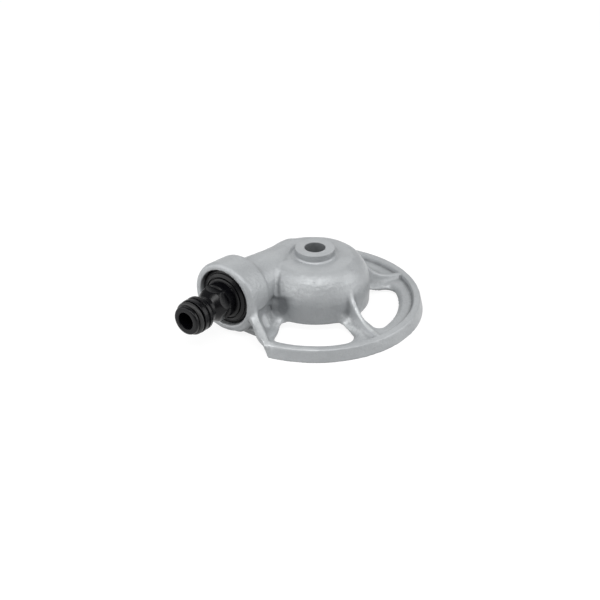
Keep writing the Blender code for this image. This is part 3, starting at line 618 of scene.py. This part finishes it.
def edge_fill(points, normal):
    """Move that gives back what the rounding took off the chamber's foot, the collar's underside and the
    inlet's mouth, and keeps the bore clear of the machined boss."""
    x, y, z = points.T
    radius = np.hypot(x, y)
    foot = fade(z, *FOOT_TOP_Z) * fade(normal[:, 2], 0.5, 0.9)
    push = FOOT_PUSH * foot * smooth_step(radius, *FOOT_INNER_R) * fade(radius, *FOOT_OUTER_R)
    push -= BORE_TRIM * fade(radius, *BORE_EDGE_R) * smooth_step(z, *BORE_EDGE_Z)
    sideways, upwards, inlet = from_inlet(points)
    under = fade(normal[:, 2], -0.7, -0.2) * fade(x, *COLLAR_X)
    push += COLLAR_PUSH * under * smooth_step(inlet, *COLLAR_SKIN_R) * smooth_step(z, *COLLAR_LOW_Z)
    mouth = MOUTH_PUSH * bell(inlet - MOUTH_R, MOUTH_WIDTH) * fade(x, *MOUTH_X) / np.maximum(inlet, 1e-6)
    return push[:, None] * normal - np.stack([np.zeros(len(points)), mouth * sideways, mouth * upwards], -1)


def cast_lumps(points):
    """Height of the cast surface's small and middling lumps and of its slow swell."""
    rough = about_spots(points, ROUGH_SPOTS)
    return sum((height + more * rough) * lattice_noise(points, size, seed)
               for seed, (size, height, more) in enumerate(LUMPS, 1))


def casting_wear_and_painted_light(points, normal, bend):
    """Rubbed edges with painted light and shade at each point, from -1 where shade is painted into corners,
    recesses and under parts, to 1 on rubbed edges and painted highlights.
    """
    x, y, z = points.T
    level = normal[:, 2]
    radius = np.hypot(x, y)
    inlet = from_inlet(points)[2]
    far, place, side = along_line(points, CREASE)
    # Only upward faces get the lighter edges and ridges: a painted highlight from the lamps above
    up = smooth_step(level, -0.3, 0.3)
    # Painted shade on the windows' walls
    window_wall_shade = fade(z, 3.2, 3.9) * fade(np.abs(level), 0.6, 0.9)
    window_wall_shade *= smooth_step(radius, *FOOT_OUTER_R) * fade(radius, *WINDOW_END_R)
    # Painted shade on the chamber's lower wall
    chamber_wall_shade = fade(radius, 28.6, 29.8) * fade(z, 14.0, 24.0)
    # Painted highlight on the crease's bead
    crease_edge_highlight = smooth_step(place, 0.05, 0.45) * bell(far, 1.0)
    # Painted shadow on the dome beside the crease
    crease_hollow_shadow = smooth_step(place, 0.4, 0.7) * fade(side, -1.1, -0.5) * bell(far - 2.0, 1.0)
    # Painted shade on the recess wall inside the collar
    recess_wall_shade = fade(inlet, 14.9, 15.6) * smooth_step(x, -46.8, -45.4) * (x < RECESS_END_X)
    # Painted highlight on the inlet mouth's rim
    mouth_rim_highlight = bell(inlet - 15.0, 0.7) * fade(x, -47.2, -46.4)
    # Painted shade on the collar's underside
    under_collar_shade = fade(level, -0.6, -0.1) * fade(x, -37.0, -34.0) * (inlet > COLLAR_SKIN_R[0])
    # Convex edges lighter, as rubbing and as a painted highlight on upward faces; hollow corners darker, as
    # painted shade
    wear_and_painted_light = np.where(bend < 0.0, 3.0 * up, 18.0) * -bend + about_lines(points, PAINTED_RIDGE_HIGHLIGHTS) * up
    wear_and_painted_light += 0.6 * crease_edge_highlight + 0.4 * mouth_rim_highlight - 0.6 * under_collar_shade - about_spots(points, PAINTED_SHADE_SPOTS)
    wear_and_painted_light -= 0.5 * window_wall_shade + 0.34 * chamber_wall_shade + 0.45 * crease_hollow_shadow + 0.15 * recess_wall_shade
    return np.clip(wear_and_painted_light, -1.0, 1.0)


def casting_form():
    """The casting's solid with a round bar under the strut's thin edge: the form that the skin is laid on."""
    builder = bmesh.new()
    builder.from_mesh(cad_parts["sprinkler_casting"].data)
    places = [Vector((SWIRL_X + x * MM, y * MM, z * MM)) for x, y, z in STRUT_BAR]
    along = (places[-1] - places[0]).normalized()
    across = along.cross(Vector((0.0, 0.0, 1.0))).normalized()
    above = across.cross(along)
    turns = [2.0 * math.pi * side / BAR_SIDES for side in range(BAR_SIDES)]
    spokes = [across * math.cos(turn) + above * math.sin(turn) for turn in turns]
    rings = [[builder.verts.new(place + spoke * radius * MM) for spoke in spokes]
             for place, radius in zip(places, BAR_RADII)]
    for low, high in zip(rings, rings[1:]):
        for side in range(BAR_SIDES):
            builder.faces.new((low[side], low[side - 1], high[side - 1], high[side]))
    builder.faces.new(rings[0])
    builder.faces.new(rings[-1][::-1])
    mesh = bpy.data.meshes.new("casting_form")
    builder.to_mesh(mesh)
    builder.free()
    return add_object("casting_form", mesh)


def bake(obj):
    """Replace the mesh by what its modifiers make of it."""
    made = bpy.data.meshes.new_from_object(obj.evaluated_get(bpy.context.evaluated_depsgraph_get()))
    old = obj.data
    obj.modifiers.clear()
    obj.data = made
    bpy.data.meshes.remove(old)


def drop_crumbs(mesh):
    """Delete what the remesh left loose beside the skin."""
    builder = bmesh.new()
    builder.from_mesh(mesh)
    builder.verts.ensure_lookup_table()
    reached = {builder.verts[0]}
    front = list(reached)
    while front:
        found = {edge.other_vert(vert) for vert in front for edge in vert.link_edges} - reached
        reached |= found
        front = list(found)
    bmesh.ops.delete(builder, geom=[vert for vert in builder.verts if vert not in reached], context="VERTS")
    builder.to_mesh(mesh)
    builder.free()


def lay_skin():
    """Even mesh over the casting's form."""
    form = casting_form()
    obj = add_object("casting_skin", form.data.copy())
    remesh = obj.modifiers.new("skin", "REMESH")
    remesh.mode = "VOXEL"
    remesh.voxel_size = SKIN_STEP * MM
    fit = obj.modifiers.new("fit", "SHRINKWRAP")
    fit.target = form
    fit.wrap_method = "NEAREST_SURFACEPOINT"
    bake(obj)
    bpy.data.objects.remove(form)
    drop_crumbs(obj.data)
    return obj


def add_forms(net, outside):
    """Give the skin the horn's fuller side, the filled hollow, the pocket and the crease, and return each
    point's distance from the crease."""
    net.co += fuller_horn(net.co, outside)
    rise, far = crease_step(net.co)
    height = (about_spots(net.co, FILL_SPOTS) - pocket_depth(net.co)) * outside
    net.co += height[:, None] * net.normals()
    outward = net.co - np.array(CREASE_CENTRE)
    net.co += (rise * outside / np.linalg.norm(outward, axis=1))[:, None] * outward
    return far


def round_strut(net, start):
    """Even out the strut, its foot and its corner with the ring, make the strut a little fuller and fill the
    edges. Heights and the distance from the inlet are those of the start."""
    z = start[:, 2]
    clear = smooth_step(from_inlet(start)[2], *COLLAR_WALL_R)
    strut = bell(along_line(net.co, STRUT)[0], STRUT_REACH) * clear
    foot = bell(along_line(net.co, STRUT_FOOT)[0], STRUT_FOOT_REACH) * smooth_step(z, *STRUT_FOOT_Z)
    corner = bell(np.hypot(start[:, 0] - RING_CORNER[0], start[:, 1] - RING_CORNER[1]), CORNER_REACH)
    net.relax(rounds=12, share=np.maximum(strut, foot))
    net.relax(rounds=14, share=corner * smooth_step(z, *CORNER_FOOT_Z))
    normal = net.normals()
    push = STRUT_PUSH * strut * smooth_step(z, *STRUT_FULL_Z)
    net.co += push[:, None] * normal + edge_fill(net.co, normal)


def flatten_crown(net):
    """Hold the crown down to its flat height under the boss."""
    under_boss = np.hypot(net.co[:, 0], net.co[:, 1]) < CROWN_R
    net.co[:, 2] = np.where(under_boss, np.minimum(net.co[:, 2], CROWN_Z), net.co[:, 2])


def make_casting():
    """Cast body: the solid's form, softened, fitted to the photographed outline and roughened."""
    obj = lay_skin()
    net = Net(obj.data)
    net.co = (net.co - np.array([SWIRL_X, 0.0, 0.0])) / MM
    net.smooth(rounds=4)
    start = net.co.copy()
    outside, crown, rim = skin_shares(start)
    crease_distance = add_forms(net, outside)
    fillet = np.where(start[:, 2] < FILLET_LOW_Z, 0.0, outside) * (1.0 - RIM_HOLD * rim) * (1.0 - crown)
    fillet *= 1.0 - CREASE_HOLD * bell(crease_distance, CREASE_HOLD_WIDTH)
    net.soften(rounds=24, share=fillet)
    net.round_edges(rounds=4, least=0.04)
    net.smooth(rounds=3)
    round_strut(net, start)
    net.co += crest_trim(net.co) + ring_fit(net.co)
    flatten_crown(net)
    net.smooth(rounds=4, share=crown * outside)
    lumpy = net.mean(net.mean(outside)) * (1.0 - crown)
    net.co += (cast_lumps(net.co) * lumpy)[:, None] * net.normals()
    net.co[:, 2] = np.maximum(net.co[:, 2], 0.0)
    # Bend of the surface, for painted shade in hollows and lighter convex edges
    bend = (net.pull() * net.normals()).sum(1)
    for _ in range(3):
        bend = net.mean(bend)
    # For the material: rubbed edges with painted highlights and painted shade
    store(obj.data, "wear_and_painted_light", casting_wear_and_painted_light(net.co, net.normals(), bend * (1.0 - crown)))
    # For the material: rough streaks, a painted highlight in colour and a bump
    store(obj.data, "rough_streaks_and_painted_highlight", np.clip(about_lines(net.co, ROUGH_LINES_AND_PAINTED_HIGHLIGHTS), 0.0, 1.0))
    net.co = net.co * MM + np.array([SWIRL_X, 0.0, 0.0])
    net.write()
    obj.data.shade_smooth()
    return obj


def make_boss():
    """Machined nozzle boss on the crown, with its bore."""
    corners = [(BOSS_R, 30.1, 0.9), (11.0, 29.1, 0.0), (BOSS_R, 28.4, 0.0), (7.4, 27.6, 0.0),
               (BOSS_BORE_R, 26.6, 0.0), (BOSS_BORE_R, BOSS_TOP_Z, 0.3), (BOSS_R, BOSS_TOP_Z, 0.35)]
    obj = turned("nozzle_boss", refined(rounded(corners, 4), 0.5), 128, upright=True)
    points = Net(obj.data).co
    radius = np.hypot(points[:, 0] - SWIRL_X, points[:, 1]) / MM
    # Painted shade on the boss's wall, less at its foot, and deeper painted shade in the bore
    wall = smooth_step(radius, 9.7, 9.9) * (0.3 * fade(points[:, 2] / MM, 29.9, 30.4) - 0.45)
    store(obj.data, "wear_and_painted_light", wall - fade(radius, BOSS_BORE_R, BOSS_BORE_R + 0.25))
    return obj


# Adaptor and its seals

def adaptor_shape(radius, depth, turn):
    """Wrench flats planed onto the body, one of them on top, and the thread on the shank."""
    flat = HEX_FLAT / np.cos(turn % (math.pi / 3.0) - math.pi / 6.0)
    in_hex = (depth > HEX_SPAN[0]) & (depth < HEX_SPAN[1]) & (radius > HEX_LEAST_R)
    planed = -HEX_SOFT * np.logaddexp(-radius / HEX_SOFT, -flat / HEX_SOFT)
    radius = np.where(in_hex, planed, radius)
    wave = ((depth - THREAD_FROM) / THREAD_PITCH - turn / (2.0 * math.pi)) % 1.0
    groove = np.clip(1.15 - 2.6 * np.abs(wave - 0.5), 0.0, 1.0)
    reach = smooth_step(depth, 34.8, 36.4) * fade(depth, 42.7, 44.1)
    threaded = (radius > THREAD_LEAST_R) & (depth > THREAD_FROM - 0.1)
    return radius - np.where(threaded, THREAD_DEPTH * groove * reach, 0.0)


def make_adaptor():
    """Click-on adaptor: grooved nose, waist with its flats, stepped flange and threaded shank."""
    nose = [(ADAPTOR_BORE_R, 0.0, 0.5), (7.2, 0.0, 1.2), (7.3, 1.95, 0.3), (GROOVE_R, 1.95, 0.3),
            (GROOVE_R, 5.0, 0.3), (NOSE_R, 5.0, 0.4), (NOSE_R, 7.3, 0.25), (7.85, 7.5, 0.15),
            (7.85, 8.4, 0.15), (NOSE_R, 8.6, 0.25), (NOSE_R, 10.2, 0.5)]
    waist = [(8.2, 10.8, 0.5), (6.3, 12.3, 1.2), (6.0, 13.6, 1.4), (6.2, 15.2, 1.6), (8.4, 18.6, 0.8),
             (BODY_R, 20.0, 0.9), (BODY_R, 27.4, 0.5)]
    flange = [(9.4, 27.4, 0.25), (10.2, 27.8, 0.3), (10.2, 29.0, 0.15), (10.8, 29.0, 0.15),
              (10.8, 27.9, 0.25), (11.0, 27.9, 0.3), (12.5, 28.7, 0.3), (12.6, 29.3, 0.15),
              (12.9, 29.2, 0.2), (FLANGE_R, 29.95, 0.3), (FLANGE_R, FLANGE_BACK, 0.2)]
    shank = [(SHANK_R, FLANGE_BACK, 0.3), (SHANK_R, SHANK_END - 0.4, 0.2), (SHANK_R - 0.4, SHANK_END, 0.2),
             (ADAPTOR_BORE_R, SHANK_END, 0.2)]
    outline = refined(rounded(nose + waist + flange + shank, 4), 0.28)
    return turned("adaptor_body", outline, 144, shape=adaptor_shape)


def make_o_ring():
    steps = 20
    turns = [2 * math.pi * step / steps for step in range(steps)]
    outline = [Vector((O_RING_MIDDLE_R + O_RING_THICK_R * math.cos(turn),
                       O_RING_PLACE + O_RING_THICK_R * math.sin(turn))) for turn in turns]
    return turned("o_ring", outline, 120)


def make_washer():
    rounding = 0.25
    corners = [(WASHER_HOLE_R, WASHER_FRONT, rounding), (FLANGE_R, WASHER_FRONT, rounding),
               (FLANGE_R, WASHER_BACK, rounding), (WASHER_HOLE_R, WASHER_BACK, rounding)]
    return turned("flat_washer", rounded(corners, 4), 120)


# Materials

class Nodes:
    """Small helper to lay out a material's node tree."""

    def __init__(self, name):
        self.material = bpy.data.materials.new(name)
        self.material.use_nodes = True
        self.tree = self.material.node_tree
        self.shader = self.tree.nodes["Principled BSDF"]

    def add(self, kind, **values):
        node = self.tree.nodes.new(kind)
        for key, value in values.items():
            if hasattr(node, key):
                setattr(node, key, value)
            else:
                node.inputs[key.replace("_", " ")].default_value = value
        return node

    def link(self, source, target):
        self.tree.links.new(source, target)

    def set(self, **values):
        """Set the shader's own inputs."""
        for key, value in values.items():
            self.shader.inputs[key.replace("_", " ")].default_value = value

    def feed(self, source, name):
        """Link a value to one of the shader's inputs."""
        self.link(source, self.shader.inputs[name])

    def position(self):
        return self.add("ShaderNodeNewGeometry").outputs["Position"]

    def attribute(self, name):
        return self.add("ShaderNodeAttribute", attribute_name=name).outputs["Fac"]

    def noise(self, vector, scale, detail, roughness):
        node = self.add("ShaderNodeTexNoise", Scale=scale, Detail=detail, Roughness=roughness)
        self.link(vector, node.inputs["Vector"])
        return node.outputs["Fac"]

    def ramp(self, value, low, high, low_out=0.0, high_out=1.0):
        node = self.add("ShaderNodeMapRange", clamp=True)
        for key, number in (("From Min", low), ("From Max", high), ("To Min", low_out), ("To Max", high_out)):
            node.inputs[key].default_value = number
        self.link(value, node.inputs["Value"])
        return node.outputs["Result"]

    def math(self, operation, first, second):
        node = self.add("ShaderNodeMath", operation=operation)
        for index, value in enumerate((first, second)):
            if isinstance(value, float):
                node.inputs[index].default_value = value
            else:
                self.link(value, node.inputs[index])
        return node.outputs["Value"]

    def mix(self, factor, first, second):
        node = self.add("ShaderNodeMix", data_type="RGBA")
        self.link(factor, node.inputs["Factor"])
        for name, value in (("A", first), ("B", second)):
            socket = [entry for entry in node.inputs if entry.name == name and entry.type == "RGBA"][0]
            if isinstance(value, tuple):
                socket.default_value = value
            else:
                self.link(value, socket)
        return [entry for entry in node.outputs if entry.type == "RGBA"][0]

    def bump(self, height, distance, strength, normal=None):
        node = self.add("ShaderNodeBump", Distance=distance, Strength=strength)
        self.link(height, node.inputs["Height"])
        if normal is not None:
            self.link(normal, node.inputs["Normal"])
        return node.outputs["Normal"]


def casting_material():
    """Shot-blasted die-cast metal: fine grain, soft mottling, brighter on worn edges, with painted highlights
    and painted shade read from the skin.
    """
    nodes = Nodes("casting_grey_blasted")
    where = nodes.position()
    grain = nodes.noise(where, 2600.0, 3.0, 0.6)
    orange_peel = nodes.noise(where, 620.0, 3.0, 0.5)
    cloud = nodes.noise(where, 70.0, 3.0, 0.5)
    wear_and_painted_light = nodes.attribute("wear_and_painted_light")
    rough_streaks_and_painted_highlight = nodes.attribute("rough_streaks_and_painted_highlight")
    chatter = nodes.noise(where, 900.0, 2.0, 0.5)
    # Streaks lighten the colour: a painted highlight
    painted_streak_highlight = nodes.math("MULTIPLY", rough_streaks_and_painted_highlight, nodes.ramp(chatter, 0.34, 0.62, 0.35, 1.0))
    base = nodes.mix(nodes.ramp(cloud, 0.35, 0.65), CAST_LOW, CAST_HIGH)
    base = nodes.mix(nodes.ramp(grain, 0.30, 0.72, 0.0, 0.5), base, CAST_GRAIN)
    # Lighter where edges are rubbed and where highlights are painted
    base = nodes.mix(nodes.ramp(wear_and_painted_light, 0.1, 0.8, 0.0, 0.8), base, CAST_WORN_AND_PAINTED_HIGHLIGHT)
    base = nodes.mix(painted_streak_highlight, base, CAST_WORN_AND_PAINTED_HIGHLIGHT)
    # Darker where shade is painted
    base = nodes.mix(nodes.ramp(wear_and_painted_light, -0.1, -0.9, 0.0, 0.8), base, CAST_PAINTED_SHADE)
    nodes.feed(base, "Base Color")
    polish = nodes.ramp(wear_and_painted_light, 0.1, 0.7, 0.0, 0.10)
    roughness = nodes.math("SUBTRACT", nodes.ramp(orange_peel, 0.3, 0.7, 0.36, 0.48), polish)
    nodes.feed(roughness, "Roughness")
    nodes.set(Metallic=0.18, Coat_Weight=0.3, Coat_Roughness=0.4)
    normal = nodes.bump(nodes.noise(where, 330.0, 2.0, 0.5), 0.00038, 0.7)
    normal = nodes.bump(orange_peel, 0.0003, 0.8, normal)
    normal = nodes.bump(nodes.math("MULTIPLY", chatter, rough_streaks_and_painted_highlight), 0.0004, 0.9, normal)
    nodes.feed(nodes.bump(grain, 0.00006, 0.9, normal), "Normal")
    return nodes.material


def plastic_material():
    """Black moulded plastic, glossy, with the faint ripple and scuffs of handling."""
    nodes = Nodes("black_plastic_moulded")
    where = nodes.position()
    ripple = nodes.noise(where, 260.0, 2.0, 0.4)
    scuff = nodes.noise(where, 1800.0, 4.0, 0.65)
    nodes.feed(nodes.mix(nodes.ramp(scuff, 0.45, 0.75, 0.0, 0.5), PLASTIC_BLACK, PLASTIC_SCUFF), "Base Color")
    nodes.feed(nodes.ramp(scuff, 0.35, 0.75, 0.20, 0.34), "Roughness")
    nodes.set(Specular_IOR_Level=0.24)
    normal = nodes.bump(ripple, 0.00012, 0.5)
    nodes.feed(nodes.bump(scuff, 0.00002, 0.5, normal), "Normal")
    return nodes.material


def rubber_material():
    """Matt black rubber with a light bloom."""
    nodes = Nodes("black_rubber_seal")
    where = nodes.position()
    bloom = nodes.noise(where, 420.0, 4.0, 0.6)
    grain = nodes.noise(where, 3800.0, 2.0, 0.5)
    nodes.feed(nodes.mix(nodes.ramp(bloom, 0.4, 0.7), RUBBER_BLACK, RUBBER_BLOOM), "Base Color")
    nodes.feed(nodes.ramp(bloom, 0.3, 0.7, 0.42, 0.58), "Roughness")
    nodes.feed(nodes.bump(grain, 0.00003, 0.6), "Normal")
    return nodes.material


def steel_material():
    """Zinc-plated pressed steel: fine spangle and a few water stains."""
    nodes = Nodes("plated_steel_cover")
    where = nodes.position()
    cells = nodes.add("ShaderNodeTexVoronoi", Scale=520.0)
    nodes.link(where, cells.inputs["Vector"])
    grey = nodes.add("ShaderNodeRGBToBW")
    nodes.link(cells.outputs["Color"], grey.inputs["Color"])
    spangle = grey.outputs["Val"]
    stain = nodes.noise(where, 120.0, 4.0, 0.6)
    base = nodes.mix(nodes.ramp(spangle, 0.2, 0.8), STEEL_LOW, STEEL_HIGH)
    base = nodes.mix(nodes.ramp(stain, 0.55, 0.75, 0.0, 0.5), base, STEEL_STAIN)
    nodes.feed(base, "Base Color")
    nodes.set(Metallic=0.9)
    nodes.feed(nodes.ramp(stain, 0.4, 0.75, 0.30, 0.52), "Roughness")
    nodes.feed(nodes.bump(spangle, 0.00002, 0.4), "Normal")
    return nodes.material


def dress(obj, material, slot, body, *nodes):
    obj.data.materials.clear()
    obj.data.materials.append(material)
    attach(obj, body)
    if nodes:
        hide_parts(*nodes)


# Studio

def make_camera():
    azimuth = math.radians(CAMERA_AZIMUTH)
    elevation = math.radians(CAMERA_ELEVATION)
    right = Vector((math.cos(azimuth), math.sin(azimuth), 0.0))
    ahead = Vector((-math.sin(azimuth) * math.cos(elevation), math.cos(azimuth) * math.cos(elevation),
                    -math.sin(elevation)))
    data = bpy.data.cameras.new("camera")
    data.lens = CAMERA_LENS
    data.sensor_width = CAMERA_SENSOR
    data.clip_start = 0.02
    data.clip_end = 20.0
    camera = add_object("camera", data)
    target = Vector((SWIRL_X, 0.0, AIM_HEIGHT)) + right * AIM_SHIFT
    camera.location = target - ahead * CAMERA_DISTANCE
    camera.rotation_mode = "QUATERNION"
    camera.rotation_quaternion = ahead.to_track_quat("-Z", "Y")
    bpy.context.scene.camera = camera


def make_floor():
    """Pale floor that looks evenly lit to the camera and throws back little light."""
    builder = bmesh.new()
    bmesh.ops.create_grid(builder, x_segments=1, y_segments=1, size=FLOOR_HALF)
    mesh = bpy.data.meshes.new("floor")
    builder.to_mesh(mesh)
    builder.free()
    floor = add_object("floor", mesh)
    nodes = Nodes("floor_pale")
    nodes.set(Base_Color=FLOOR_TONE, Roughness=0.9, Specular_IOR_Level=0.1)
    path = nodes.add("ShaderNodeLightPath")
    seen = nodes.math("MAXIMUM", path.outputs["Is Camera Ray"], path.outputs["Is Glossy Ray"])
    seen = nodes.math("MAXIMUM", seen, path.outputs["Is Transmission Ray"])
    glow = nodes.add("ShaderNodeEmission")
    nodes.link(nodes.math("MULTIPLY", seen, FLOOR_GLOW), glow.inputs["Strength"])
    both = nodes.add("ShaderNodeAddShader")
    nodes.link(nodes.shader.outputs["BSDF"], both.inputs[0])
    nodes.link(glow.outputs["Emission"], both.inputs[1])
    nodes.link(both.outputs["Shader"], nodes.tree.nodes["Material Output"].inputs["Surface"])
    mesh.materials.append(nodes.material)


def make_lamp(name, direction, distance, size, power):
    """Soft lamp, as wide and as high as size says, that faces the object from (azimuth, elevation)."""
    azimuth, elevation = (math.radians(value) for value in direction)
    back = Vector((math.sin(azimuth) * math.cos(elevation), -math.cos(azimuth) * math.cos(elevation),
                   math.sin(elevation)))
    data = bpy.data.lights.new(name, "AREA")
    data.shape = "RECTANGLE"
    data.size, data.size_y = size
    data.energy = power
    lamp = add_object(name, data)
    lamp.location = Vector((0.0, 0.0, LAMP_AIM_HEIGHT)) + back * distance
    lamp.rotation_mode = "QUATERNION"
    lamp.rotation_quaternion = (-back).to_track_quat("-Z", "Y")


def make_world(strength):
    """White surroundings that light the object softly and look white to the camera."""
    world = bpy.data.worlds.new("studio")
    bpy.context.scene.world = world
    world.use_nodes = True
    tree = world.node_tree
    background = tree.nodes["Background"]
    background.inputs["Color"].default_value = (1.0, 1.0, 1.0, 1.0)
    path = tree.nodes.new("ShaderNodeLightPath")
    seen = tree.nodes.new("ShaderNodeMath")
    seen.operation = "MAXIMUM"
    tree.links.new(path.outputs["Is Camera Ray"], seen.inputs[0])
    tree.links.new(path.outputs["Is Transmission Ray"], seen.inputs[1])
    level = tree.nodes.new("ShaderNodeMapRange")
    level.inputs["To Min"].default_value = strength
    level.inputs["To Max"].default_value = 1.0
    tree.links.new(seen.outputs["Value"], level.inputs["Value"])
    tree.links.new(level.outputs["Result"], background.inputs["Strength"])


casting = make_casting()
boss = make_boss()
adaptor = make_adaptor()
o_ring = make_o_ring()
washer = make_washer()

grey = casting_material()
plastic = plastic_material()
rubber = rubber_material()
steel = steel_material()

dress(casting, grey, "casting_grey", "casting", "sprinkler_casting")
dress(boss, grey, "casting_grey", "casting")
dress(adaptor, plastic, "black_plastic", "adaptor", "hose_adaptor")
dress(o_ring, rubber, "black_rubber", "adaptor", "nose_o_ring")
dress(washer, rubber, "black_rubber", "seal", "inlet_washer")
for node, material in (("bottom_cover", steel), ("cover_gasket", rubber)):
    for material_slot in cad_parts[node].material_slots:
        material_slot.material = material

make_camera()
make_floor()
make_lamp("key", (CAMERA_AZIMUTH, 59.0), distance=0.9, size=(1.0, 0.3), power=5.35)
make_lamp("left", (CAMERA_AZIMUTH - 76.0, 21.0), distance=1.1, size=(1.1, 0.9), power=6.4)
make_lamp("right", (CAMERA_AZIMUTH + 85.0, 24.0), distance=1.1, size=(0.8, 0.8), power=4.5)
make_lamp("back", (CAMERA_AZIMUTH + 180.0, 34.0), distance=1.1, size=(0.8, 0.8), power=1.2)
make_world(strength=0.25)
bpy.context.scene.view_settings.view_transform = "Standard"
